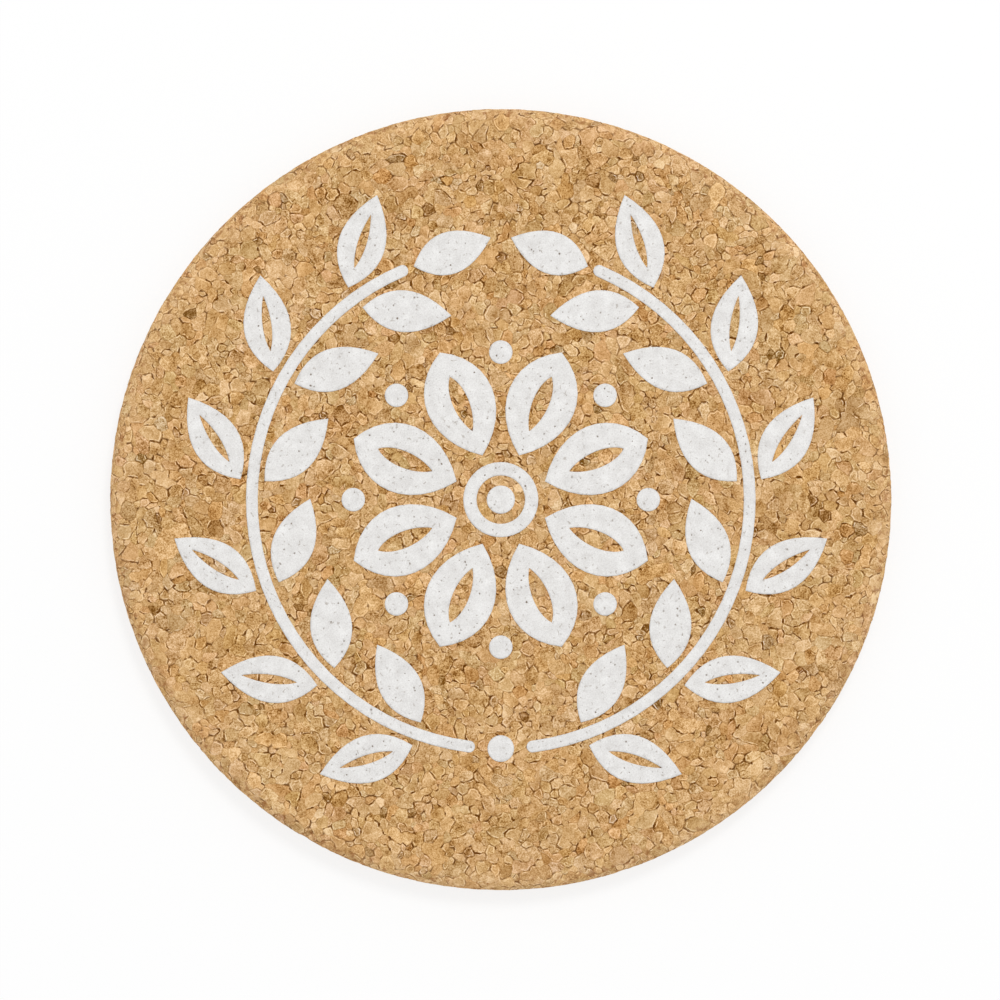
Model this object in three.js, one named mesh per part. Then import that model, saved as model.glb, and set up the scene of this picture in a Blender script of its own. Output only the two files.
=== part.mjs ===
// A round cork coaster: one disc of pressed cork granules with rounded rims, and a white
// screen print on its top face. The print is a wreath of two leafy branches around a flower.
// Every separate island of dried ink is its own thin solid that lies flat on the cork.
//
// Millimetres, +Z up. The origin is the centre of the underside, where the disc meets the table.
// +Y is the way that the branches grow, from the tie bead up to their tip leaves.

import * as THREE from "three";

// Cork disc
const DISC_DIAMETER = 100;
const DISC_THICKNESS = 5;
const RIM_RADIUS = 2; // round-over of the upper and the lower rim
const EDGE_BAND = 0.6; // least height of the straight edge between the two round-overs
const DISC_SEGMENTS = 96; // around the disc
const RIM_STEPS = 3; // along one half of a round-over

// Print as a whole
const INK_THICKNESS = 0.08;
const PRINT_MARGIN = 6; // bare cork between the round-over and the outermost leaf tips
const CURVE_STEPS = 12; // along each curve of a leaf's or a petal's outline
const ARC_STEPS = 18; // along one half of each circular arc

// Branches: a stem that follows a circle, with pairs of leaves that lean away from it
const STEM_WIDTH = 1.5;
const LEAF_PAIRS = 6; // on each stem
const LEAF_TO_STEM = 0.8; // bare cork between a leaf's base and the stem
const LEAF_SPACING = 2.3; // bare cork between neighbouring leaves, at their widest
const OUTER_LEAF_LENGTH = 12.4;
const OUTER_LEAF_LEAN = 37; // degrees from the stem
const INNER_LEAF_LENGTH = 11.4;
const INNER_LEAF_LEAN = 41; // degrees from the stem
const TIP_LEAF_LENGTH = 10.5;
const TIP_LEAF_WIDTH = 5.4;
const TIP_TO_TIP = 2.6; // bare cork between the two tip leaves
const VEIN_LENGTH = 7.2; // slit of bare cork in each outer leaf
const VEIN_WIDTH = 1.15;

// Tie bead, between the lower ends of the stems
const TIE_DIAMETER = 3.4;
const TIE_GAP = 1.6; // bare cork between the bead and a stem

// Flower: a heart and a ring around it, then petals that fill the room left inside the wreath
const HEART_DIAMETER = 3.6;
const HEART_GAP = 1.3; // bare cork between the heart and the ring
const RING_WIDTH = 1.7;
const RING_TO_PETAL = 1.3; // bare cork between the ring and the petals
const PETAL_COUNT = 8;
const FLOWER_TO_WREATH = 4; // bare cork between the flower and the inner leaf tips
const PETAL_SPACING = 1.2; // bare cork between neighbouring petals
const SLIT_LENGTH_RATIO = 0.53; // to the length of the petal that the slit of bare cork is in
const SLIT_WIDTH_RATIO = 0.24; // to the width of that petal
const SEED_DIAMETER = 3; // round islands between the petal tips

// How far along a leaf the handles of its outline curves lie, to its length
const LEAF_HANDLE_RATIO = { base: 0.28, tip: 0.62 };
const PETAL_HANDLE_RATIO = { base: 0.3, tip: 0.78 };
const HANDLE_RISE_RATIO = 2 / 3; // a handle this far out, to the width, makes the outline that wide

const radians = THREE.MathUtils.degToRad;

// Radii of the print, from its edge inwards
const discRadius = DISC_DIAMETER / 2;
const rimRadius = Math.min(RIM_RADIUS, (DISC_THICKNESS - EDGE_BAND) / 2);
const printRadius = discRadius - rimRadius - PRINT_MARGIN;
const outerLean = radians(OUTER_LEAF_LEAN);
const innerLean = radians(INNER_LEAF_LEAN);
const outerBaseRadius =
  Math.sqrt(printRadius ** 2 - (OUTER_LEAF_LENGTH * Math.cos(outerLean)) ** 2) -
  OUTER_LEAF_LENGTH * Math.sin(outerLean);
const stemRadius = outerBaseRadius - LEAF_TO_STEM - STEM_WIDTH / 2;
const innerBaseRadius = stemRadius - STEM_WIDTH / 2 - LEAF_TO_STEM;
const innerRadiusAt = (along) =>
  Math.hypot(innerBaseRadius - along * Math.sin(innerLean), along * Math.cos(innerLean));
const flowerRadius = innerRadiusAt(INNER_LEAF_LENGTH) - FLOWER_TO_WREATH;
const ringBore = HEART_DIAMETER + 2 * HEART_GAP;
const ringDiameter = ringBore + 2 * RING_WIDTH;
const petalBaseRadius = ringDiameter / 2 + RING_TO_PETAL;

// The right branch runs counter-clockwise from beside the tie bead to its tip leaf.
const stemStart = -Math.acos((TIE_DIAMETER / 2 + TIE_GAP + STEM_WIDTH / 2) / stemRadius);
const tipStart =
  Math.acos(TIP_TO_TIP / 2 / Math.hypot(stemRadius, TIP_LEAF_LENGTH)) -
  Math.atan2(TIP_LEAF_LENGTH, stemRadius);
const stemEnd = tipStart - (LEAF_TO_STEM + STEM_WIDTH / 2) / stemRadius;
const leafPitch = (stemEnd - stemStart) / LEAF_PAIRS;

// Leaves are as wide as their neighbours on the stem allow.
const outerLeafWidth = leafPitch * stemRadius * Math.sin(outerLean) - LEAF_SPACING;
const innerLeafWidth =
  leafPitch * innerRadiusAt(INNER_LEAF_LENGTH / 2) * Math.sin(innerLean) - LEAF_SPACING;

function corkMaterial() {
  return new THREE.MeshStandardMaterial({ color: 0xc8a06e, roughness: 0.9, metalness: 0 });
}

function inkMaterial() {
  return new THREE.MeshStandardMaterial({ color: 0xe7e5e2, roughness: 0.6, metalness: 0 });
}

function namedMesh(name, geometry, material) {
  const mesh = new THREE.Mesh(geometry, material);
  mesh.name = name;
  return mesh;
}

function corkDisc() {
  const profile = new THREE.Path();
  profile.moveTo(0, 0);
  profile.lineTo(discRadius - rimRadius, 0);
  profile.absarc(discRadius - rimRadius, rimRadius, rimRadius, -Math.PI / 2, 0);
  profile.absarc(discRadius - rimRadius, DISC_THICKNESS - rimRadius, rimRadius, 0, Math.PI / 2);
  profile.lineTo(0, DISC_THICKNESS);
  const geometry = new THREE.LatheGeometry(profile.getPoints(RIM_STEPS), DISC_SEGMENTS);
  geometry.rotateX(Math.PI / 2);
  return namedMesh("cork_disc", geometry, corkMaterial());
}

// A pointed oval along +X, from its base at the origin to its tip at x = length
function traceLeaf(path, length, width, handles, start = 0) {
  const rise = width * HANDLE_RISE_RATIO;
  const base = start + length * handles.base;
  const tip = start + length * handles.tip;
  path.moveTo(start, 0);
  path.bezierCurveTo(base, -rise, tip, -rise, start + length, 0);
  path.bezierCurveTo(tip, rise, base, rise, start, 0);
  return path;
}

function leafShape(length, width, handles) {
  return traceLeaf(new THREE.Shape(), length, width, handles);
}

// A leaf with a slit of bare cork along its middle
function slitLeafShape(length, width, handles, slitLength, slitWidth) {
  const shape = leafShape(length, width, handles);
  const start = (length - slitLength) / 2;
  shape.holes.push(traceLeaf(new THREE.Path(), slitLength, slitWidth, handles, start));
  return shape;
}

function roundShape(diameter) {
  return new THREE.Shape().absarc(0, 0, diameter / 2, 0, 2 * Math.PI);
}

function ringShape(diameter, bore) {
  const shape = roundShape(diameter);
  shape.holes.push(new THREE.Path().absarc(0, 0, bore / 2, 0, 2 * Math.PI));
  return shape;
}

// A band along the stem's circle between two angles, with round ends
function stemShape(start, end) {
  const half = STEM_WIDTH / 2;
  const shape = new THREE.Shape();
  shape.absarc(0, 0, stemRadius + half, start, end);
  shape.absarc(stemRadius * Math.cos(end), stemRadius * Math.sin(end), half, end, end + Math.PI);
  shape.absarc(0, 0, stemRadius - half, end, start, true);
  shape.absarc(
    stemRadius * Math.cos(start),
    stemRadius * Math.sin(start),
    half,
    start + Math.PI,
    start + 2 * Math.PI,
  );
  return shape;
}

function inkIsland(name, shape, steps = ARC_STEPS) {
  const flat = { depth: INK_THICKNESS, bevelEnabled: false, curveSegments: steps };
  return namedMesh(name, new THREE.ExtrudeGeometry(shape, flat), inkMaterial());
}

// Puts an island's own origin at a radius and an angle, turned to point along a heading
function placeAt(island, radius, angle, heading) {
  island.position.set(radius * Math.cos(angle), radius * Math.sin(angle), 0);
  island.rotation.z = heading;
  return island;
}

function outerLeafShape() {
  return slitLeafShape(OUTER_LEAF_LENGTH, outerLeafWidth, LEAF_HANDLE_RATIO, VEIN_LENGTH, VEIN_WIDTH);
}

function innerLeafShape() {
  return leafShape(INNER_LEAF_LENGTH, innerLeafWidth, LEAF_HANDLE_RATIO);
}

function tipLeafShape() {
  return leafShape(TIP_LEAF_LENGTH, TIP_LEAF_WIDTH, LEAF_HANDLE_RATIO);
}

// One branch, on the right or mirrored to the left. Each leaf is even about its own length,
// so mirroring it only moves and turns it.
function branch(side) {
  const group = new THREE.Group();
  const mirrored = side === "left";
  const turn = (angle) => (mirrored ? Math.PI - angle : angle);
  const stem = mirrored ? stemShape(turn(stemEnd), turn(stemStart)) : stemShape(stemStart, stemEnd);
  group.add(inkIsland(`ink_stem_${side}`, stem));

  for (let pair = 1; pair <= LEAF_PAIRS; pair += 1) {
    const angle = stemStart + leafPitch * (pair - 0.5);
    const along = angle + Math.PI / 2;
    const outer = inkIsland(`ink_outer_leaf_${side}_${pair}`, outerLeafShape(), CURVE_STEPS);
    group.add(placeAt(outer, outerBaseRadius, turn(angle), turn(along - outerLean)));
    const inner = inkIsland(`ink_inner_leaf_${side}_${pair}`, innerLeafShape(), CURVE_STEPS);
    group.add(placeAt(inner, innerBaseRadius, turn(angle), turn(along + innerLean)));
  }

  const tip = inkIsland(`ink_tip_leaf_${side}`, tipLeafShape(), CURVE_STEPS);
  group.add(placeAt(tip, stemRadius, turn(tipStart), turn(tipStart + Math.PI / 2)));
  return group;
}

function tieBead() {
  const bead = inkIsland("ink_tie_bead", roundShape(TIE_DIAMETER));
  return placeAt(bead, stemRadius, -Math.PI / 2, 0);
}

// Petals are as long as the flower leaves room for, and as wide as their neighbours allow.
function flower() {
  const group = new THREE.Group();
  const pitch = (2 * Math.PI) / PETAL_COUNT;
  const length = flowerRadius - petalBaseRadius;
  const bellyRadius = petalBaseRadius + length / 2;
  const width = 2 * bellyRadius * Math.sin(pitch / 2) - PETAL_SPACING / Math.cos(pitch / 2);
  const slitLength = length * SLIT_LENGTH_RATIO;
  const slitWidth = width * SLIT_WIDTH_RATIO;
  const petalShape = slitLeafShape(length, width, PETAL_HANDLE_RATIO, slitLength, slitWidth);

  for (let count = 1; count <= PETAL_COUNT; count += 1) {
    const seedAngle = pitch * (count - 1);
    const petalAngle = seedAngle + pitch / 2;
    const petal = inkIsland(`ink_petal_${count}`, petalShape, CURVE_STEPS);
    group.add(placeAt(petal, petalBaseRadius, petalAngle, petalAngle));
    const seed = inkIsland(`ink_seed_${count}`, roundShape(SEED_DIAMETER));
    group.add(placeAt(seed, flowerRadius - SEED_DIAMETER / 2, seedAngle, 0));
  }
  group.add(inkIsland("ink_flower_ring", ringShape(ringDiameter, ringBore)));
  group.add(inkIsland("ink_flower_heart", roundShape(HEART_DIAMETER)));
  return group;
}

function screenPrint() {
  const group = new THREE.Group();
  group.position.z = DISC_THICKNESS;
  group.add(branch("left"), branch("right"), tieBead(), flower());
  return group;
}

const coaster = new THREE.Group();
coaster.name = "cork_coaster";
coaster.add(corkDisc(), screenPrint());

export default coaster;
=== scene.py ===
import math

import bpy
import numpy as np
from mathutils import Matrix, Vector
from mathutils.bvhtree import BVHTree
from mathutils.geometry import delaunay_2d_cdt


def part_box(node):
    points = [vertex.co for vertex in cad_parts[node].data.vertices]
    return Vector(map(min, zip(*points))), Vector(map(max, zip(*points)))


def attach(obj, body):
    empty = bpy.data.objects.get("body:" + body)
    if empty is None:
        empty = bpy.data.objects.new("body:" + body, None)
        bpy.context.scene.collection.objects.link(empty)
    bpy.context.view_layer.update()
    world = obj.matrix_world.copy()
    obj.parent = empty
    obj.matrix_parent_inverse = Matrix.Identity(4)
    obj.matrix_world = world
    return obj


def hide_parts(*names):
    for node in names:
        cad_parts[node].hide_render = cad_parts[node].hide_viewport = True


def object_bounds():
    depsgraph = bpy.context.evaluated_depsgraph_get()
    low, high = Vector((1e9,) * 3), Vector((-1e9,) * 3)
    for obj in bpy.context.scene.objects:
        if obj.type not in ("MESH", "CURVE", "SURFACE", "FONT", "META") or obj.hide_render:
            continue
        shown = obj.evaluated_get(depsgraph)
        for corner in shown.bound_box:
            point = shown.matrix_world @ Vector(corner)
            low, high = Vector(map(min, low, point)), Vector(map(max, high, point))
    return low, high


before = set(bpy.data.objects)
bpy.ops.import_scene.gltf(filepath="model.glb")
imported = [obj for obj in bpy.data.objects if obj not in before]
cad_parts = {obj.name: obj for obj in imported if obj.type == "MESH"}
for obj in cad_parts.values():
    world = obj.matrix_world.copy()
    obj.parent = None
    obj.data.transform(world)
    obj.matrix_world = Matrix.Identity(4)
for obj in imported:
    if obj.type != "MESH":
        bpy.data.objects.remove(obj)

# The looks of a round cork coaster. The cork disc is rebuilt as one closed surface of pressed granules,
# and each island of ink as a thin film that drapes over them. Shapes are worked out in millimetres, in
# the frame's axes, and turned into metres when a mesh is made. The studio is in metres.

MM = 0.001
RANDOM_SEED = 20

cad_low, cad_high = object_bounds()
disc_low, disc_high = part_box("cork_disc")

# Plain disc under the granules
DISC_RADIUS = disc_high.x / MM
THICKNESS = disc_high.z / MM
RIM_RADIUS = 2.0
FLAT_RADIUS = DISC_RADIUS - RIM_RADIUS
RIM_ARC = RIM_RADIUS * math.pi / 2
# Painted light: the rounded rim is made paler over this span, which also holds its flecks of bark
RIM_LIGHT_AND_WEAR_SPAN = (-1.4, 1.0)  # from the border of the flat face, where the wear starts and where it is full
# Arc lengths along the profile, from the centre of the top to the centre of the underside
UPPER_RIM_END = FLAT_RADIUS + RIM_ARC
LOWER_RIM_START = UPPER_RIM_END + THICKNESS - 2 * RIM_RADIUS
LOWER_RIM_END = LOWER_RIM_START + RIM_ARC
PROFILE_LENGTH = LOWER_RIM_END + FLAT_RADIUS

# Places and sizes of the granules
COARSE = (0.56, 0.95)  # least and greatest radius
MEDIUM = (0.36, 0.54)
FINE = (0.23, 0.33)
DARTS = {COARSE: 9000, MEDIUM: 24000, FINE: 18000}  # tries at placing a granule of each size
UNDERSIDE_SCALE = 1.5  # the underside's granules are kept coarser
PACKING = 0.74  # least distance of two granules, to the sum of their radii

# Seam along the lower rim, where the upper and the lower triangulation meet
SEAM_REACH = LOWER_RIM_START + RIM_ARC * 0.6
SEAM_JITTER = 0.35
SEAM_STEP = 1.3
SEAM_UNEVENNESS = (0.8, 1.25)  # least and greatest step, to the usual one
SEAM_RADIUS = (0.75, 1.1)
INSIDE_BORDER = 1  # the kind of triangulation that ends at its border
SAME_PLACE = 1e-6  # points nearer than this are one

# Relief of the granules
CORNER_SPREAD = 0.25  # how uneven the corners between granules are
LONG_EDGE = 0.75  # edges longer than this get a point in the middle
EDGE_BULGE = 0.35
EDGE_WOBBLE = 0.05  # to an edge's length
CRACK_DEPTH = 0.045
CRACK_HALF_WIDTH = (0.17, 0.3)  # of a closed and of a wide open crack
MOST_SLOPE = 0.45  # of the way from a crack to the middle of its granule
HOLE_SHARE = 0.2  # of the corners, where the granules don't meet
HOLE_SIZE = (0.4, 1.0)
HOLE_DEPTH = 0.12
HOLE_RADIUS = 0.1
PLATEAU_DEPTH = (0.015, 0.045)
GRANULE_TILT = 0.03
LEAST_DEPTH = 0.003

# Cracks between the granules, from 0 for closed to 1 for wide open
DARK_LOOSENESS = 1.2  # what a dark granule adds
LOOSE_SHARE = 0.5  # how far a crack goes by its two granules
OPENING = (0.1, 0.6)  # mean and spread of what each crack has of its own
LEAST_OPENING = 0.1
# Dark and light along a crack, between level granules and by how much one lies over the other: the crack's
# dark joint with painted shadow over the lower granule, and a painted highlight on the higher granule's edge
CRACK_LEVEL = 0.95
# Painted shadow: a crack is darker on the lower granule's side
CRACK_LEAN = 0.5
CRACK_STRENGTH = (0.2, 1.7)
# Painted highlight on the higher granule's edge of a crack
HIGHLIGHT_LEVEL = 0.4
HIGHLIGHT_SPREAD = 0.5

# Tones of the granules, from 0 for brown to 1 for cream, and their tints
TONE = (0.518, 0.07)  # mean and spread
DARK_SHARE = 0.035
DARK_DROP = 0.26
DARK_GREEN = 0.05
DARK_BLUE = 0.1
PALE_SHARE = 0.04
PALE_LIFT = (0.08, 0.27)
JOINED_SHARE = 0.15  # of the granules, that look like a part of a neighbour
GREEN_SPREAD = 0.024
BLUE_SPREAD = 0.045
BLUE_BY_GREEN = 2.5
RED_BY_GREEN = -0.5
VIVID = (0.6, 1.2)  # least and greatest strength of a tint
VIVID_FALL = 2.5  # how fast that strength falls as the tone rises
# Painted shading: each granule is lighter toward one side, chosen at random
GRADIENT = 0.1  # change of tone to a millimetre
MOST_SHADE = 0.12  # change of tone at a granule's edge
TEXTURE_STRENGTH = (0.75, 1.35)
PATTERN_SHIFT = 50.0  # how far apart the patterns of two granules may lie

# Fields of the baked map, to its width
TOP_FIELD = 0.4
UNDERSIDE_FIELD = 0.18
FIELD_MARGIN = 3.0

# Ink
INK_TOP = cad_high.z / MM
INK_SPACING = 0.27
INK_JITTER = 0.3  # to the spacing
INK_MARGIN = 0.5 * INK_SPACING  # between the outline and the points within it
INK_DRAPE = 0.3  # how much of the cork's relief shows in the film
INK_SINK = 0.04  # how far the film dips over a crack at most
INK_BITE = 0.03  # how far the film reaches into the cork
# painted shade where the film dips over a crack
DIP_SHADE = 0.31
PINHOLE_RADIUS = (0.11, 0.23)
PINHOLE_WIDTH = (0.4, 1.0)  # to its length
PINHOLE_MARGIN = 2 * PINHOLE_RADIUS[1]
PINHOLE_CLEARANCE = 1.3 * PINHOLE_RADIUS[1]
PINHOLE_DEPTH = 0.04
PINHOLE_DARKNESS = (0.35, 1.0)
PINHOLE_SIDES = 6

# Colours as they look on screen, from 0 to 255
CORK_TONES = {
    0.0: (116, 70, 10),
    0.25: (172, 124, 67),
    0.5: (206, 163, 108),
    0.75: (229, 188, 136),
    1.0: (252, 216, 169),
}
# dark joints of the cracks, with painted shadow
CRACK_AND_SHADOW_BROWN = (106, 59, 0)
# painted shade in the pits where the granules don't meet
HOLE_SHADE_BROWN = (98, 53, 0)
# painted light on the rim
RIM_LIGHT_CREAM = (238, 200, 150)
BARK_BROWN = (150, 90, 44)
INK_TONES = {0.34: (211, 208, 205), 0.74: (245, 244, 242)}
HAIRLINE_GREY = (140, 124, 106)
# brown of the pinholes, and of the painted shade over the cracks
SPECK_AND_DIP_SHADE_BROWN = (104, 84, 62)

# Photograph, in pixels
PHOTO_WIDTH = 1000
PHOTO_CENTRE = (500.8, 499.6)
PHOTO_RADIUS = 390.6

# Studio
CAMERA_HEIGHT = 1.2
SENSOR_WIDTH = 36.0
FLOOR_HALF = 0.6
FLOOR_WHITE = (0.98, 0.98, 0.98, 1)
WHITE = (1, 1, 1, 1)
GLOW_REACH = (0.08, 0.4)  # from the middle of the floor, where its own glow rises
GLOW_SHARE = (0.78, 1.0)
CONTACT_REACH = 0.001  # nearer to the cork than this, the floor is clear
SKY_LIGHT = 0.72
KEY_PLACE = Vector((0.2, 0.55, 1.0))
KEY_SIZE = 0.3
KEY_LIGHT = 0.29  # share of full white that the lamp adds to a level surface

rng = np.random.default_rng(RANDOM_SEED)


# Surface of the plain disc


def profile(reach):
    """Distance from the axis and height above the table, at an arc length from the top's centre."""
    upper = (reach - FLAT_RADIUS) / RIM_RADIUS
    lower = (reach - LOWER_RIM_START) / RIM_RADIUS
    spans = [reach < FLAT_RADIUS, reach < UPPER_RIM_END, reach < LOWER_RIM_START, reach < LOWER_RIM_END]
    upper_radius = FLAT_RADIUS + RIM_RADIUS * np.sin(upper)
    lower_radius = FLAT_RADIUS + RIM_RADIUS * np.cos(lower)
    radius = np.select(spans, [reach, upper_radius, DISC_RADIUS, lower_radius], PROFILE_LENGTH - reach)
    upper_height = THICKNESS - RIM_RADIUS * (1 - np.cos(upper))
    band_height = THICKNESS - RIM_RADIUS - (reach - UPPER_RIM_END)
    lower_height = RIM_RADIUS * (1 - np.sin(lower))
    height = np.select(spans, [THICKNESS, upper_height, band_height, lower_height], 0.0)
    return radius, height


def surface_point(reach, angle):
    radius, height = profile(reach)
    return np.column_stack([radius * np.cos(angle), radius * np.sin(angle), height])


def to_surface(points):
    """The nearest points of the plain disc's surface, with their outward normals."""
    radius = np.hypot(points[:, 0], points[:, 1])
    flat = radius <= FLAT_RADIUS
    core_radius = np.minimum(radius, FLAT_RADIUS)
    core_height = np.clip(points[:, 2], RIM_RADIUS, THICKNESS - RIM_RADIUS)
    side = np.sign(points[:, 2] - THICKNESS / 2)
    core_height = np.where(flat, THICKNESS / 2 + side * (THICKNESS / 2 - RIM_RADIUS), core_height)
    out = np.where(flat, 0.0, radius - core_radius)
    up = np.where(flat, side, points[:, 2] - core_height)
    length = np.hypot(out, up)
    around = points[:, :2] / np.maximum(radius, LEAST_DEPTH)[:, None]
    normals = np.column_stack([around * (out / length)[:, None], up / length])
    core = np.column_stack([around * core_radius[:, None], core_height])
    return core + normals * RIM_RADIUS, normals


def reach_of(points):
    """Arc length from the top's centre, of points on the plain disc's surface."""
    radius = np.hypot(points[:, 0], points[:, 1])
    height = points[:, 2]
    out = np.maximum(radius - FLAT_RADIUS, 0.0)
    upper = FLAT_RADIUS + RIM_RADIUS * np.arctan2(out, height - (THICKNESS - RIM_RADIUS))
    band = UPPER_RIM_END + THICKNESS - RIM_RADIUS - height
    lower = LOWER_RIM_START + RIM_RADIUS * np.arctan2(RIM_RADIUS - height, out)
    flat = out == 0
    spans = [flat & (height > THICKNESS / 2), flat, height > THICKNESS - RIM_RADIUS, height > RIM_RADIUS]
    return np.select(spans, [radius, PROFILE_LENGTH - radius, upper, band], lower)


def rim_share(points):
    """From 0 on the faces to 1 at the edge, for points on the plain disc's surface."""
    reach = reach_of(points)
    past_face = np.minimum(reach, PROFILE_LENGTH - reach) - FLAT_RADIUS
    return np.interp(past_face, RIM_LIGHT_AND_WEAR_SPAN, [0, 1])


def flattened(points, upper):
    """The surface laid flat around the middle of its top, or of its underside."""
    reach = reach_of(points)
    spread = np.where(upper, reach, PROFILE_LENGTH - reach)
    angle = np.arctan2(points[:, 1], points[:, 0])
    return np.column_stack([spread * np.cos(angle), spread * np.sin(angle)])


def weighted_means(points, weights):
    """Means of groups of points, on the surface."""
    means = (points * weights[..., None]).sum(axis=1) / weights.sum(axis=1)[:, None]
    return to_surface(means)[0]


# Granules


class Darts:
    """Points on the surface, none nearer to another than their radii allow."""

    CELL = 2 * PACKING * COARSE[1] * UNDERSIDE_SCALE

    def __init__(self):
        self.points = []
        self.radii = []
        self.grid = {}

    def near(self, point):
        x, y, z = (int(value // self.CELL) for value in point)
        for i in range(x - 1, x + 2):
            for j in range(y - 1, y + 2):
                for k in range(z - 1, z + 2):
                    yield from self.grid.get((i, j, k), ())

    def fits(self, point, radius):
        for other in self.near(point):
            if math.dist(point, self.points[other]) < PACKING * (radius + self.radii[other]):
                return False
        return True

    def add(self, point, radius):
        key = tuple(int(value // self.CELL) for value in point)
        self.grid.setdefault(key, []).append(len(self.points))
        self.points.append(point)
        self.radii.append(radius)


def scatter_granules():
    """Centres and radii of the granules, and how many of them, the first ones, follow the seam."""
    darts = Darts()
    seam_count = round(2 * math.pi * DISC_RADIUS / SEAM_STEP)
    steps = rng.uniform(*SEAM_UNEVENNESS, seam_count)
    angles = 2 * math.pi * np.cumsum(steps) / steps.sum()
    reaches = SEAM_REACH + rng.uniform(-SEAM_JITTER, SEAM_JITTER, seam_count)
    for point in surface_point(reaches, angles).tolist():
        darts.add(point, rng.uniform(*SEAM_RADIUS))
    for size, tries in DARTS.items():
        reaches = rng.uniform(0, PROFILE_LENGTH, tries)
        angles = rng.uniform(0, 2 * math.pi, tries)
        radii = rng.uniform(*size, tries) * np.where(reaches < SEAM_REACH, 1, UNDERSIDE_SCALE)
        keep = rng.random(tries) < profile(reaches)[0] / DISC_RADIUS
        if size == FINE:
            keep &= reaches < SEAM_REACH
        for point, radius in zip(surface_point(reaches[keep], angles[keep]).tolist(), radii[keep]):
            if darts.fits(point, radius):
                darts.add(point, radius)
    return np.array(darts.points), np.array(darts.radii), seam_count


def triangulate(centres, seam_count):
    """Triangles between the centres, facing outwards, and which centres are the upper field's."""
    reach = reach_of(centres)
    angle = np.arctan2(centres[:, 1], centres[:, 0])
    seam_reach = np.interp(angle, angle[:seam_count], reach[:seam_count], period=2 * math.pi)
    on_seam = np.arange(len(centres)) < seam_count
    border = [(i, (i + 1) % seam_count) for i in range(seam_count)]
    triangles = []
    for upper in (True, False):
        members = np.flatnonzero(on_seam | ((reach < seam_reach) == upper))
        flat = [Vector(point) for point in flattened(centres[members], upper).tolist()]
        found = delaunay_2d_cdt(flat, border, [], INSIDE_BORDER, SAME_PLACE)
        faces, sources = found[2], found[3]
        for face in faces:
            a, b, c = (members[sources[corner][0]] for corner in face)
            triangles.append((a, b, c) if upper else (a, c, b))
    return np.array(triangles), on_seam | (reach < seam_reach)


class Net:
    """The granules' centres, with the triangles between them over the whole closed surface."""

    def __init__(self):
        self.centres, self.radii, seam_count = scatter_granules()
        self.triangles, self.upper = triangulate(self.centres, seam_count)
        sides = np.stack([self.triangles, np.roll(self.triangles, -1, axis=1)], axis=-1).reshape(-1, 2)
        # Pairs of neighbours, the pair at each side of each triangle, and the two triangles of each pair
        self.pairs, edge_of_side = np.unique(np.sort(sides, axis=1), axis=0, return_inverse=True)
        edge_of_side = edge_of_side.ravel()
        self.side_edges = edge_of_side.reshape(-1, 3)
        self.edge_triangles = (np.argsort(edge_of_side, kind="stable") // 3).reshape(-1, 2)

    def outlines(self):
        """For each granule, its triangles in order around it, each with the edge that comes after it."""
        ahead = [{} for centre in self.centres]
        for triangle, corners in enumerate(self.triangles.tolist()):
            for k in range(3):
                after, beyond = corners[(k + 1) % 3], corners[(k + 2) % 3]
                ahead[corners[k]][after] = (triangle, int(self.side_edges[triangle, (k + 2) % 3]), beyond)
        for steps in ahead:
            start = at = next(iter(steps))
            ring = []
            while not ring or at != start:
                triangle, edge, at = steps[at]
                ring.append((triangle, edge))
            yield ring


class Granules:
    """Everything that is drawn at random about the granules, their edges and their corners."""

    def __init__(self, net):
        count = len(net.radii)
        small = net.radii < MEDIUM[1]
        dark = (rng.random(count) < DARK_SHARE) & small
        pale = (rng.random(count) < PALE_SHARE) & small & ~dark
        joined = (rng.random(count) < JOINED_SHARE) & ~dark & ~pale
        host = np.arange(count)
        for guest, other in (net.pairs.T, net.pairs.T[::-1]):
            match = joined[guest] & ~(joined | dark | pale)[other]
            host[guest[match]] = other[match]
        self.depth = rng.uniform(*PLATEAU_DEPTH, count)[host]
        self.tilt = rng.normal(0, GRANULE_TILT, (count, 3))[host]
        self.gradient = rng.normal(0, GRADIENT, (count, 3))
        tone = rng.normal(*TONE, count)
        tone += rng.uniform(*PALE_LIFT, count) * pale - DARK_DROP * dark
        self.tone = tone[host]
        vivid = np.clip(1 - VIVID_FALL * (tone - TONE[0]), *VIVID)
        green = rng.normal(0, GREEN_SPREAD, count) * vivid + DARK_GREEN * dark
        blue = BLUE_BY_GREEN * green + rng.normal(0, BLUE_SPREAD, count) * vivid + DARK_BLUE * dark
        self.tint = np.exp(np.column_stack([RED_BY_GREEN * green, green, blue]))[host]
        self.shift = rng.uniform(0, PATTERN_SHIFT, count)[host]
        self.rough = rng.uniform(*TEXTURE_STRENGTH, count)[host]
        loose = rng.random(count) + DARK_LOOSENESS * dark
        opening = LOOSE_SHARE * loose[net.pairs].mean(axis=1) + rng.normal(*OPENING, len(net.pairs))
        self.opening = np.clip(opening, LEAST_OPENING, 1)
        self.opening[host[net.pairs[:, 0]] == host[net.pairs[:, 1]]] = 0
        corner_opening = np.sort(self.opening[net.side_edges], axis=1)[:, 1:].mean(axis=1)
        corner_count = len(net.triangles)
        self.hole = (rng.random(corner_count) < HOLE_SHARE) * rng.uniform(*HOLE_SIZE, corner_count)
        self.corner_depth = CRACK_DEPTH * corner_opening + HOLE_DEPTH * self.hole


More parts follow.
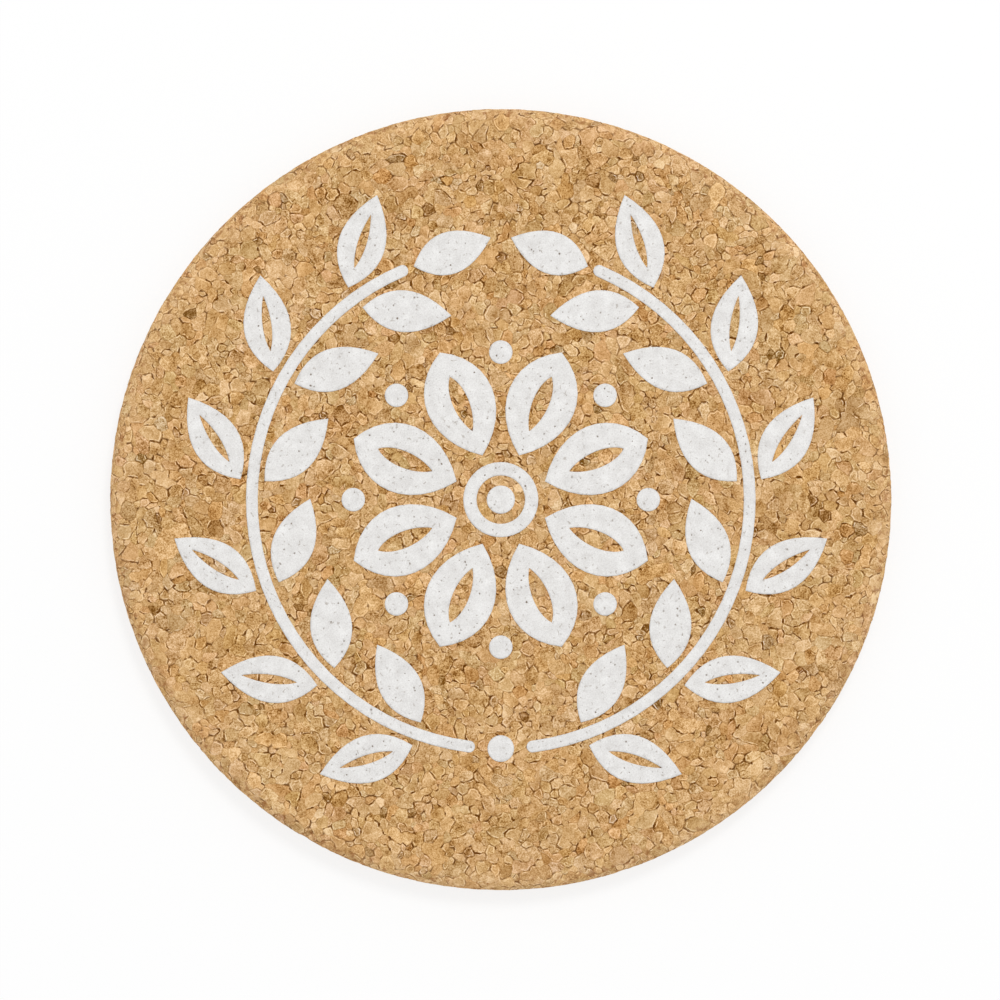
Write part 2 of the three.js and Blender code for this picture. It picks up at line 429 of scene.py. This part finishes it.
class Cracks:
    """Points along the cracks: one where three granules meet, and one in the middle of a long edge."""

    def __init__(self, net, granules):
        spread = np.exp(rng.normal(0, CORNER_SPREAD, net.triangles.shape))
        self.corners = weighted_means(net.centres[net.triangles], spread / net.radii[net.triangles])
        ends = self.corners[net.edge_triangles]
        length = np.linalg.norm(ends[:, 0] - ends[:, 1], axis=1)
        between = weighted_means(net.centres[net.pairs], 1 / net.radii[net.pairs])
        middles = ends.mean(axis=1) * (1 - EDGE_BULGE) + between * EDGE_BULGE
        middles += rng.normal(0, EDGE_WOBBLE, middles.shape) * length[:, None]
        self.is_long = (length > LONG_EDGE) & net.upper[net.pairs].any(axis=1)
        self.middle_index = len(self.corners) + np.cumsum(self.is_long) - 1
        self.points, self.normals = to_surface(np.concatenate([self.corners, middles[self.is_long]]))
        self.hole = np.concatenate([granules.hole, np.zeros(self.is_long.sum())])
        corner_depth = granules.depth[net.triangles].mean(axis=1) + granules.corner_depth
        middle_depth = granules.depth[net.pairs].mean(axis=1) + CRACK_DEPTH * granules.opening
        self.depth = np.concatenate([corner_depth, middle_depth[self.is_long]])


class Outlines:
    """All granules' outlines in one row: each place has its crack point, granule, edge and neighbours."""

    def __init__(self, net, cracks):
        ring, owner, edge, following, leading, starts = [], [], [], [], [], []
        for granule, outline in enumerate(net.outlines()):
            first = len(ring)
            for triangle, after in outline:
                ring.append(triangle)
                edge.append(after)
                if cracks.is_long[after]:
                    ring.append(cracks.middle_index[after])
                    edge.append(after)
            starts.append(first)
            owner.extend([granule] * (len(ring) - first))
            following.extend([*range(first + 1, len(ring)), first])
            leading.extend([len(ring) - 1, *range(first, len(ring) - 1)])
        self.ring = np.array(ring)
        self.owner = np.array(owner)
        self.edge = np.array(edge)
        self.following = np.array(following)
        self.leading = np.array(leading)
        self.starts = starts
        seams = cracks.points[self.ring]
        sizes = np.bincount(self.owner)
        means = np.column_stack([np.bincount(self.owner, seams[:, k]) / sizes for k in range(3)])
        self.inward = means[self.owner] - seams


def plateau_edges(granules, cracks, outlines):
    """Points around the granules' plateaus, one inward of each place of the outlines, and their depth."""
    opening = granules.opening[outlines.edge]
    slope = np.interp((opening + opening[outlines.leading]) / 2, [0, 1], CRACK_HALF_WIDTH)
    slope += HOLE_RADIUS * cracks.hole[outlines.ring]
    share = np.minimum(slope / np.linalg.norm(outlines.inward, axis=1), MOST_SLOPE)
    points, normals = to_surface(cracks.points[outlines.ring] + outlines.inward * share[:, None])
    tilt = (granules.tilt[outlines.owner] * outlines.inward).sum(axis=1)
    return points, normals, granules.depth[outlines.owner] - tilt


def cork_disc(material):
    """The closed surface of granules: each has a flat plateau, and a slope down into its cracks."""
    net = Net()
    granules = Granules(net)
    cracks = Cracks(net, granules)
    outlines = Outlines(net, cracks)
    edge_points, edge_normals, edge_depth = plateau_edges(granules, cracks, outlines)
    points = np.concatenate([cracks.points, edge_points])
    normals = np.concatenate([cracks.normals, edge_normals])
    depth = np.concatenate([cracks.depth, edge_depth])
    vertices = points - normals * np.maximum(depth, LEAST_DEPTH)[:, None]

    ring, following = outlines.ring, outlines.following
    near = len(cracks.points) + np.arange(len(ring))
    slopes = np.column_stack([ring, ring[following], near[following], near])
    plateaus = np.split(near, outlines.starts[1:])
    faces = slopes.tolist() + [plateau.tolist() for plateau in plateaus]
    mesh = new_piece("cork_disc", vertices, faces, material).data
    set_point_values(mesh, points, granules, cracks, outlines)
    set_face_values(mesh, net, granules, outlines)
    face_points = points[np.concatenate([slopes.ravel(), near])]
    upper = net.upper[outlines.owner]
    lay_out_map(mesh, face_points, np.concatenate([np.repeat(upper, 4), upper]))
    gaps = cracks.corners[granules.hole > 0]
    return BVHTree.FromPolygons(vertices.tolist(), faces), gaps[reach_of(gaps) < FLAT_RADIUS, :2]


def set_point_values(mesh, points, granules, cracks, outlines):
    """What the cork's material takes from each point: the crack points come first, then the plateaus'."""
    crack_count = len(cracks.points)
    # painted shading across each granule, lighter toward a random side
    painted_shading = (granules.gradient[outlines.owner] * outlines.inward).sum(axis=1)
    painted_shading = np.clip(painted_shading, -MOST_SHADE, MOST_SHADE)
    set_values(mesh, "hole", "POINT", np.concatenate([cracks.hole, np.zeros(len(painted_shading))]))
    set_values(mesh, "rise", "POINT", np.arange(len(points)) >= crack_count)
    # rim mask, for the rim's painted light and its flecks of bark
    set_values(mesh, "rim_light_and_wear", "POINT", rim_share(points))
    set_values(mesh, "painted_shading", "POINT", np.concatenate([np.zeros(crack_count), painted_shading]))


def set_face_values(mesh, net, granules, outlines):
    """What the cork's material takes from each face: the slopes come first, then the plateaus."""
    count = len(outlines.ring)
    level = np.zeros(len(net.centres))
    opening = granules.opening[outlines.edge]
    other = net.pairs[outlines.edge].sum(axis=1) - outlines.owner
    over = granules.depth[other] - granules.depth[outlines.owner]
    over /= PLATEAU_DEPTH[1] - PLATEAU_DEPTH[0]
    # dark joint of the crack, with painted shadow on the lower granule's side
    crack = opening * np.clip(CRACK_LEVEL - CRACK_LEAN * over, 0, 1) * rng.uniform(*CRACK_STRENGTH, count)
    # painted highlight: the higher granule's edge of a crack is made paler
    painted_highlight = opening * np.clip(HIGHLIGHT_LEVEL + over + rng.uniform(-HIGHLIGHT_SPREAD, HIGHLIGHT_SPREAD, count), 0, 1)
    set_values(mesh, "crack", "FACE", np.concatenate([crack, level]))
    set_values(mesh, "painted_highlight", "FACE", np.concatenate([painted_highlight, level]))
    owner = np.concatenate([outlines.owner, np.arange(len(net.centres))])
    set_values(mesh, "tone", "FACE", granules.tone[owner])
    set_values(mesh, "tint", "FACE", granules.tint[owner])
    set_values(mesh, "shift", "FACE", granules.shift[owner])
    set_values(mesh, "rough", "FACE", granules.rough[owner])


def lay_out_map(mesh, points, upper):
    """Gives the top and edge a large round field of the baked map, and the underside a small one."""
    reach = np.where(upper, SEAM_REACH, PROFILE_LENGTH - SEAM_REACH) + FIELD_MARGIN
    scale = np.where(upper, TOP_FIELD, UNDERSIDE_FIELD) / reach
    middle = np.where(upper[:, None], (TOP_FIELD, 1 - TOP_FIELD), (1 - UNDERSIDE_FIELD, UNDERSIDE_FIELD))
    spots = middle + flattened(points, upper) * scale[:, None]
    layer = mesh.uv_layers.new(name="OFBake")
    layer.uv.foreach_set("vector", spots.ravel().astype(np.float32))


# Ink


def top_outlines(node):
    """Closed outlines of a node's flat top, in order, in millimetres."""
    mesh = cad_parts[node].data
    mesh.calc_loop_triangles()
    spots = [tuple(round(value / MM, 4) for value in vertex.co) for vertex in mesh.vertices]
    highest = max(spot[2] for spot in spots)
    sides = {}
    for triangle in mesh.loop_triangles:
        loop = [spots[vertex] for vertex in triangle.vertices]
        if min(spot[2] for spot in loop) > highest - LEAST_DEPTH:
            for k in range(3):
                sides[loop[k], loop[(k + 1) % 3]] = True
    onward = {start[:2]: end[:2] for start, end in sides if (end, start) not in sides}
    while onward:
        at = next(iter(onward))
        outline = []
        while at in onward:
            outline.append(at)
            at = onward.pop(at)
        yield np.array(outline)


def divided(outline, step):
    """The closed outline with points added, so that no two are further apart than the step."""
    points = []
    for start, end in zip(outline, np.roll(outline, -1, axis=0)):
        count = math.ceil(np.linalg.norm(end - start) / step)
        points.extend(start + (end - start) * k / count for k in range(count))
    return np.array(points)


def inside(points, loops):
    """Which points lie within the outlines, by how often a line to the right crosses them."""
    crossings = np.zeros(len(points), int)
    for loop in loops:
        for (x0, y0), (x1, y1) in zip(loop, np.roll(loop, -1, axis=0)):
            if y0 != y1:
                level = (points[:, 1] >= min(y0, y1)) & (points[:, 1] < max(y0, y1))
                crossings += level & (points[:, 0] < x0 + (points[:, 1] - y0) * (x1 - x0) / (y1 - y0))
    return crossings % 2 == 1


def edge_distance(points, loops):
    """Distance of each point from the nearest point of the outlines."""
    border = np.concatenate(loops)
    return np.array([np.hypot(*(border - point).T).min() for point in points])


def grid_points(loops):
    """Points all over the outlines, in rows that are a little out of line."""
    border = np.concatenate(loops)
    columns = np.arange(border[:, 0].min(), border[:, 0].max(), INK_SPACING)
    rows = np.arange(border[:, 1].min(), border[:, 1].max(), INK_SPACING)
    grid = np.stack(np.meshgrid(columns, rows), axis=-1).reshape(-1, 2)
    grid += rng.uniform(-INK_JITTER, INK_JITTER, grid.shape) * INK_SPACING
    grid = grid[inside(grid, loops)]
    return grid[edge_distance(grid, loops) > INK_MARGIN]


def pinholes(gaps, loops):
    """Centres of the pinholes in a film, over gaps of the cork, and the points around each."""
    spots = gaps[inside(gaps, loops)]
    spots = spots[edge_distance(spots, loops) > PINHOLE_MARGIN]
    turns = np.arange(PINHOLE_SIDES) * 2 * math.pi / PINHOLE_SIDES
    length = rng.uniform(*PINHOLE_RADIUS, len(spots))
    width = length * rng.uniform(*PINHOLE_WIDTH, len(spots))
    angle = rng.uniform(0, math.pi, len(spots))
    along = np.column_stack([np.cos(angle), np.sin(angle)]) * length[:, None]
    across = np.column_stack([-np.sin(angle), np.cos(angle)]) * width[:, None]
    rims = spots[:, None] + along[:, None] * np.cos(turns)[:, None] + across[:, None] * np.sin(turns)[:, None]
    return spots, rims.reshape(-1, 2)


def film_triangles(points, border, loops):
    """Triangles between the points of a film that lie within its outlines."""
    flat = [Vector(point) for point in points.tolist()]
    found = delaunay_2d_cdt(flat, border, [], INSIDE_BORDER, SAME_PLACE)
    sources = [source[0] for source in found[3]]
    triangles = np.array([[sources[corner] for corner in face] for face in found[2]])
    return triangles[inside(points[triangles].mean(axis=1), loops)]


def heights_below(points, tree):
    """Height of the cork under each point."""
    down = Vector((0, 0, -1))
    hits = [tree.ray_cast(Vector((x, y, 2 * THICKNESS)), down) for x, y in points.tolist()]
    return np.array([hit[0].z for hit in hits])


def ink_island(node, cork_tree, gaps, material):
    """One film of ink: its top follows the cork softly, and its underside bites into the cork."""
    loops = [divided(outline, INK_SPACING) for outline in top_outlines(node)]
    holes, rims = pinholes(gaps, loops)
    grid = grid_points(loops)
    for hole in holes:
        grid = grid[np.hypot(*(grid - hole).T) > PINHOLE_CLEARANCE]
    flat = np.concatenate([*loops, holes, rims, grid])
    count = len(flat)
    border = []
    for loop in loops:
        first = len(border)
        border.extend((first + k, first + (k + 1) % len(loop)) for k in range(len(loop)))
    is_hole = np.zeros(count)
    is_hole[len(border):len(border) + len(holes)] = 1

    cork = heights_below(flat, cork_tree)
    top = INK_TOP - LEAST_DEPTH - np.minimum(INK_DRAPE * (THICKNESS - cork), INK_SINK)
    top -= PINHOLE_DEPTH * is_hole
    vertices = np.concatenate([np.column_stack([flat, top]), np.column_stack([flat, cork - INK_BITE])])
    triangles = film_triangles(flat, border, loops)
    walls = [[a, a + count, b + count, b] for a, b in border]
    faces = triangles.tolist() + (triangles[:, ::-1] + count).tolist() + walls
    piece = new_piece(node, vertices, faces, material, len(triangles))
    dip = np.clip((THICKNESS - cork - PLATEAU_DEPTH[1]) / CRACK_DEPTH, 0, 1)
    # pinholes show the cork; over the cracks the film gets painted shade
    pinhole_and_dip_shade = np.maximum(is_hole * rng.uniform(*PINHOLE_DARKNESS, count), dip * DIP_SHADE)
    set_values(piece.data, "pinhole_and_dip_shade", "POINT", np.concatenate([pinhole_and_dip_shade, pinhole_and_dip_shade]))


# Pieces


def new_piece(node, vertices, faces, material, smooth_count=0):
    """A mesh in place of a CAD node, from points in millimetres. Its first faces may be smooth."""
    mesh = bpy.data.meshes.new(node + "_look")
    mesh.from_pydata((vertices * MM).tolist(), [], faces)
    mesh.materials.append(material)
    mesh.polygons.foreach_set("use_smooth", np.arange(len(faces)) < smooth_count)
    piece = bpy.data.objects.new(node + "_look", mesh)
    bpy.context.scene.collection.objects.link(piece)
    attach(piece, "root")
    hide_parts(node)
    return piece


def set_values(mesh, name, domain, values):
    """Gives each point or face a number, or three of them."""
    values = np.asarray(values, dtype=np.float32)
    if values.ndim == 1:
        mesh.attributes.new(name, "FLOAT", domain).data.foreach_set("value", values)
    else:
        mesh.attributes.new(name, "FLOAT_VECTOR", domain).data.foreach_set("vector", values.ravel())


# Materials


def srgb(red, green, blue):
    """A colour as it looks on screen, from 0 to 255, as the linear colour that the shaders take."""
    shares = [value / 255 for value in (red, green, blue)]
    return (*(s / 12.92 if s < 0.04045 else ((s + 0.055) / 1.055) ** 2.4 for s in shares), 1.0)


class Nodes:
    """A short way to write a material's nodes. Sizes are in millimetres."""

    def __init__(self, tree):
        self.tree = tree
        self.place = self.add("ShaderNodeTexCoord").outputs["Object"]

    def add(self, kind, inputs=(), **settings):
        node = self.tree.nodes.new(kind)
        for name, value in settings.items():
            setattr(node, name, value)
        for name, value in dict(inputs).items():
            if isinstance(value, bpy.types.NodeSocket):
                self.tree.links.new(value, node.inputs[name])
            else:
                node.inputs[name].default_value = value
        return node

    def math(self, operation, first, second):
        return self.add("ShaderNodeMath", {0: first, 1: second}, operation=operation).outputs[0]

    def total(self, first, *others):
        for other in others:
            first = self.math("ADD", first, other)
        return first

    def product(self, first, *others):
        for other in others:
            first = self.math("MULTIPLY", first, other)
        return first

    def noise(self, size, detail, shift=0.0):
        """Noise from 0 to 1 around 0.5, with blotches of a size."""
        values = {"Vector": self.place, "W": shift, "Scale": 1 / (size * MM), "Detail": detail}
        return self.add("ShaderNodeTexNoise", values, noise_dimensions="4D").outputs["Fac"]

    def flecks(self, size, shift):
        """Crisp fields of a size, each with a value of its own from 0 to 1."""
        values = {"Vector": self.place, "W": shift, "Scale": 1 / (size * MM)}
        node = self.add("ShaderNodeTexVoronoi", values, voronoi_dimensions="4D")
        return self.add("ShaderNodeSeparateColor", {"Color": node.outputs["Color"]}).outputs["Red"]

    def bent(self, size, reach):
        """The place, shifted by up to a reach, with bends of a size."""
        noise = self.add("ShaderNodeTexNoise", {"Vector": self.place, "Scale": 1 / (size * MM)})
        values = {0: noise.outputs["Color"], 1: (reach * MM,) * 3, 2: self.place}
        return self.add("ShaderNodeVectorMath", values, operation="MULTIPLY_ADD").outputs["Vector"]

    def seams(self, size, place):
        """Distance from the borders between fields of a size, to that size."""
        values = {"Vector": place, "Scale": 1 / (size * MM)}
        return self.add("ShaderNodeTexVoronoi", values, feature="DISTANCE_TO_EDGE").outputs["Distance"]

    def attribute(self, name, output="Fac"):
        return self.add("ShaderNodeAttribute", attribute_name=name).outputs[output]

    def span(self, value, low, high):
        """A value from 0 to 1 spread from low to high, and beyond them."""
        return self.total(self.product(value, high - low), low)

    def clamped(self, value, zero, one):
        """From 0 to 1 as the value goes from one mark to the other, and no further."""
        values = {"Value": value, "From Min": zero, "From Max": one}
        return self.add("ShaderNodeMapRange", values, clamp=True).outputs["Result"]

    def ramp(self, value, tones):
        """The colour of a value, by a list of colours at their places from 0 to 1."""
        node = self.add("ShaderNodeValToRGB", {"Fac": value})
        elements = node.color_ramp.elements
        while len(elements) < len(tones):
            elements.new(0.5)
        for element, (place, colour) in zip(elements, tones.items()):
            element.position = place
            element.color = srgb(*colour)
        return node.outputs["Color"]

    def mix(self, share, first, second, blend="MIX"):
        values = {"Factor": share, "A": first, "B": second}
        settings = {"data_type": "RGBA", "blend_type": blend, "clamp_factor": True}
        return self.add("ShaderNodeMix", values, **settings).outputs["Result"]

    def bump(self, height, strength, distance):
        values = {"Height": height, "Strength": strength, "Distance": distance * MM}
        return self.add("ShaderNodeBump", values).outputs["Normal"]


def new_material(name):
    """A material, and the nodes of an empty tree for it."""
    material = bpy.data.materials.new(name)
    material.use_nodes = True
    material.node_tree.nodes.clear()
    return material, Nodes(material.node_tree)


def finish_material(nodes, values):
    surface = nodes.add("ShaderNodeBsdfPrincipled", values)
    nodes.add("ShaderNodeOutputMaterial", {"Surface": surface.outputs["BSDF"]})


def cork_tone(nodes, mottling, grain, shift, patches):
    """How light the cork is: each granule's own tone and texture with its painted shading, a painted
    highlight on the lips, darker crack lines that are partly painted shadow, and painted light on the rim.
    """
    rise = nodes.attribute("rise")
    large_flecks = nodes.span(nodes.flecks(size=1.1, shift=shift), low=-0.1, high=0.1)
    small_flecks = nodes.span(nodes.flecks(size=0.36, shift=shift), low=-0.1, high=0.1)
    blotches = nodes.span(mottling, low=-0.15, high=0.15)
    grains = nodes.span(grain, low=-0.72, high=0.72)
    texture = nodes.total(blotches, grains, small_flecks, large_flecks)
    texture = nodes.product(texture, nodes.attribute("rough"))
    # painted highlight on the lips of the cracks
    painted_highlight = nodes.product(nodes.attribute("painted_highlight"), nodes.clamped(rise, zero=0.5, one=0.75))
    painted_highlight = nodes.product(painted_highlight, nodes.clamped(patches, zero=0.62, one=0.47), 1.5)
    # darker line along the cracks: dark joint and painted shadow
    line = nodes.product(nodes.attribute("crack"), nodes.clamped(rise, zero=0.55, one=0.1), -0.3)
    # painted light: the rim is lifted a little paler
    rim_light_and_wear = nodes.product(nodes.attribute("rim_light_and_wear"), 0.05)
    return nodes.total(nodes.attribute("tone"), nodes.attribute("painted_shading"), rim_light_and_wear, texture, painted_highlight, line)


def cracked(nodes, colour, patches):
    """Darkens the depth of the cracks in ragged stretches, as dark joints with painted shadow, and paints
    shade into the open corners.
    """
    ragged = nodes.total(nodes.attribute("rise"), nodes.span(patches, low=-2.0, high=2.0))
    # dark joints with painted shadow, in ragged stretches
    groove = nodes.product(nodes.attribute("crack"), nodes.clamped(ragged, zero=0.32, one=0.04))
    colour = nodes.mix(groove, colour, srgb(*CRACK_AND_SHADOW_BROWN))
    # painted shade in the open corners
    hole = nodes.clamped(nodes.attribute("hole"), zero=0.3, one=0.9)
    return nodes.mix(hole, colour, srgb(*HOLE_SHADE_BROWN))


def rim_light_and_bark(nodes, colour):
    """Paints light on the rim, which is made a little paler, and adds flecks of bark."""
    rim_light_and_wear = nodes.attribute("rim_light_and_wear")
    # painted light: the rim is mixed toward cream
    colour = nodes.mix(nodes.product(rim_light_and_wear, 0.15), colour, srgb(*RIM_LIGHT_CREAM))
    bark = nodes.clamped(nodes.noise(size=0.8, detail=2), zero=0.54, one=0.64)
    bark = nodes.product(nodes.clamped(rim_light_and_wear, zero=0.6, one=1.0), bark, 0.6)
    return nodes.mix(bark, colour, srgb(*BARK_BROWN))


def cork_material():
    """Bare pressed cork: granules of many tones, with dark cracks, painted light and shade, and flecks of
    bark on the rim.
    """
    material, nodes = new_material("pressed cork")
    shift = nodes.attribute("shift")
    mottling = nodes.noise(size=0.6, detail=3, shift=shift)
    grain = nodes.noise(size=0.17, detail=2, shift=shift)
    patches = nodes.noise(size=0.7, detail=2)
    colour = nodes.ramp(cork_tone(nodes, mottling, grain, shift, patches), CORK_TONES)
    colour = nodes.mix(1.0, colour, nodes.attribute("tint", "Color"), "MULTIPLY")
    colour = rim_light_and_bark(nodes, cracked(nodes, colour, patches))
    relief = nodes.total(grain, nodes.product(mottling, 1.5))
    values = {
        "Base Color": colour,
        "Roughness": nodes.span(grain, low=0.7, high=0.98),
        "Normal": nodes.bump(relief, strength=0.8, distance=0.1),
        "Specular IOR Level": 0.06,
    }
    finish_material(nodes, values)
    return material


def ink_material():
    """Matte off-white ink with faint grey blotches, darker where a pinhole shows the cork, and with painted
    shade where the film dips over a crack.
    """
    material, nodes = new_material("printed ink")
    blotches = nodes.noise(size=1.6, detail=3)
    weave = nodes.noise(size=0.17, detail=2)
    colour = nodes.ramp(nodes.total(nodes.product(blotches, 0.5), nodes.product(weave, 0.6)), INK_TONES)
    hairline = nodes.clamped(nodes.seams(1.1, nodes.bent(size=1.2, reach=0.6)), zero=0.07, one=0.03)
    stretches = nodes.clamped(nodes.noise(size=0.5, detail=1), zero=0.58, one=0.68)
    colour = nodes.mix(nodes.product(hairline, stretches, 0.5), colour, srgb(*HAIRLINE_GREY))
    # pinholes, and painted shade over the cracks
    pinhole_and_dip_shade = nodes.clamped(nodes.attribute("pinhole_and_dip_shade"), zero=0.25, one=0.7)
    colour = nodes.mix(pinhole_and_dip_shade, colour, srgb(*SPECK_AND_DIP_SHADE_BROWN))
    values = {
        "Base Color": colour,
        "Roughness": nodes.span(weave, low=0.5, high=0.75),
        "Normal": nodes.bump(weave, strength=0.3, distance=0.02),
        "Specular IOR Level": 0.35,
    }
    finish_material(nodes, values)
    return material


# Studio


def seen_rays(nodes, path):
    """1 for the rays that show the background itself, straight or in gloss and glass, and 0 for others."""
    seen = nodes.math("MAXIMUM", path.outputs["Is Camera Ray"], path.outputs["Is Glossy Ray"])
    return nodes.math("MAXIMUM", seen, path.outputs["Is Transmission Ray"])


def floor_material():
    """White that keeps a soft shadow. From below it is clear, and lets light onto the underside."""
    material, nodes = new_material("floor")
    paper = nodes.add("ShaderNodeBsdfDiffuse", {"Color": FLOOR_WHITE})
    glow = nodes.add("ShaderNodeEmission", {"Color": WHITE, "Strength": 1.0})
    path = nodes.add("ShaderNodeLightPath")
    away = nodes.add("ShaderNodeVectorMath", {0: nodes.place}, operation="LENGTH").outputs["Value"]
    share = nodes.product(seen_rays(nodes, path), nodes.span(nodes.clamped(away, *GLOW_REACH), *GLOW_SHARE))
    front = nodes.add("ShaderNodeMixShader", {0: share, 1: paper.outputs[0], 2: glow.outputs[0]})
    clear = nodes.add("ShaderNodeBsdfTransparent")
    behind = nodes.add("ShaderNodeNewGeometry").outputs["Backfacing"]
    close = nodes.math("LESS_THAN", path.outputs["Ray Length"], CONTACT_REACH)
    gone = nodes.math("MAXIMUM", behind, close)
    both = nodes.add("ShaderNodeMixShader", {0: gone, 1: front.outputs[0], 2: clear.outputs[0]})
    nodes.add("ShaderNodeOutputMaterial", {"Surface": both.outputs[0]})
    return material


def floor():
    """A square sheet under the part."""
    corners = [(-1, -1), (1, -1), (1, 1), (-1, 1)]
    mesh = bpy.data.meshes.new("floor")
    mesh.from_pydata([(x * FLOOR_HALF, y * FLOOR_HALF, 0) for x, y in corners], [], [(0, 1, 2, 3)])
    mesh.materials.append(floor_material())
    piece = bpy.data.objects.new("floor", mesh)
    bpy.context.scene.collection.objects.link(piece)


def sky():
    """Even light from all sides, and plain white where the camera sees past the floor."""
    world = bpy.data.worlds.new("studio")
    world.use_nodes = True
    world.node_tree.nodes.clear()
    nodes = Nodes(world.node_tree)
    path = nodes.add("ShaderNodeLightPath")
    strength = nodes.span(seen_rays(nodes, path), SKY_LIGHT, 1.0)
    light = nodes.add("ShaderNodeBackground", {"Color": WHITE, "Strength": strength})
    nodes.add("ShaderNodeOutputWorld", {"Surface": light.outputs[0]})
    bpy.context.scene.world = world


def key_light():
    """A soft square lamp that points at the origin."""
    lamp = bpy.data.lights.new("key", "AREA")
    lamp.size = KEY_SIZE
    lamp.energy = KEY_LIGHT * math.pi ** 2 * KEY_PLACE.length ** 3 / KEY_PLACE.z
    piece = bpy.data.objects.new("key", lamp)
    piece.location = KEY_PLACE
    piece.rotation_euler = KEY_PLACE.to_track_quat("Z", "Y").to_euler()
    bpy.context.scene.collection.objects.link(piece)


def camera():
    """Straight above, so that the disc lands where the photograph has it."""
    lens = bpy.data.cameras.new("camera")
    lens.sensor_fit = "HORIZONTAL"
    lens.sensor_width = SENSOR_WIDTH
    distance = CAMERA_HEIGHT - (disc_low.z + disc_high.z) / 2
    metres_per_pixel = disc_high.x / PHOTO_RADIUS
    lens.lens = SENSOR_WIDTH * distance / (PHOTO_WIDTH * metres_per_pixel)
    piece = bpy.data.objects.new("camera", lens)
    across = PHOTO_WIDTH / 2 - PHOTO_CENTRE[0]
    down = PHOTO_CENTRE[1] - PHOTO_WIDTH / 2
    piece.location = (across * metres_per_pixel, down * metres_per_pixel, CAMERA_HEIGHT)
    bpy.context.scene.collection.objects.link(piece)
    bpy.context.scene.camera = piece


cork_tree, gaps = cork_disc(cork_material())
ink = ink_material()
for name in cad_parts:
    if name.startswith("ink_"):
        ink_island(name, cork_tree, gaps, ink)
floor()
sky()
key_light()
camera()
bpy.context.scene.view_settings.view_transform = "Standard"
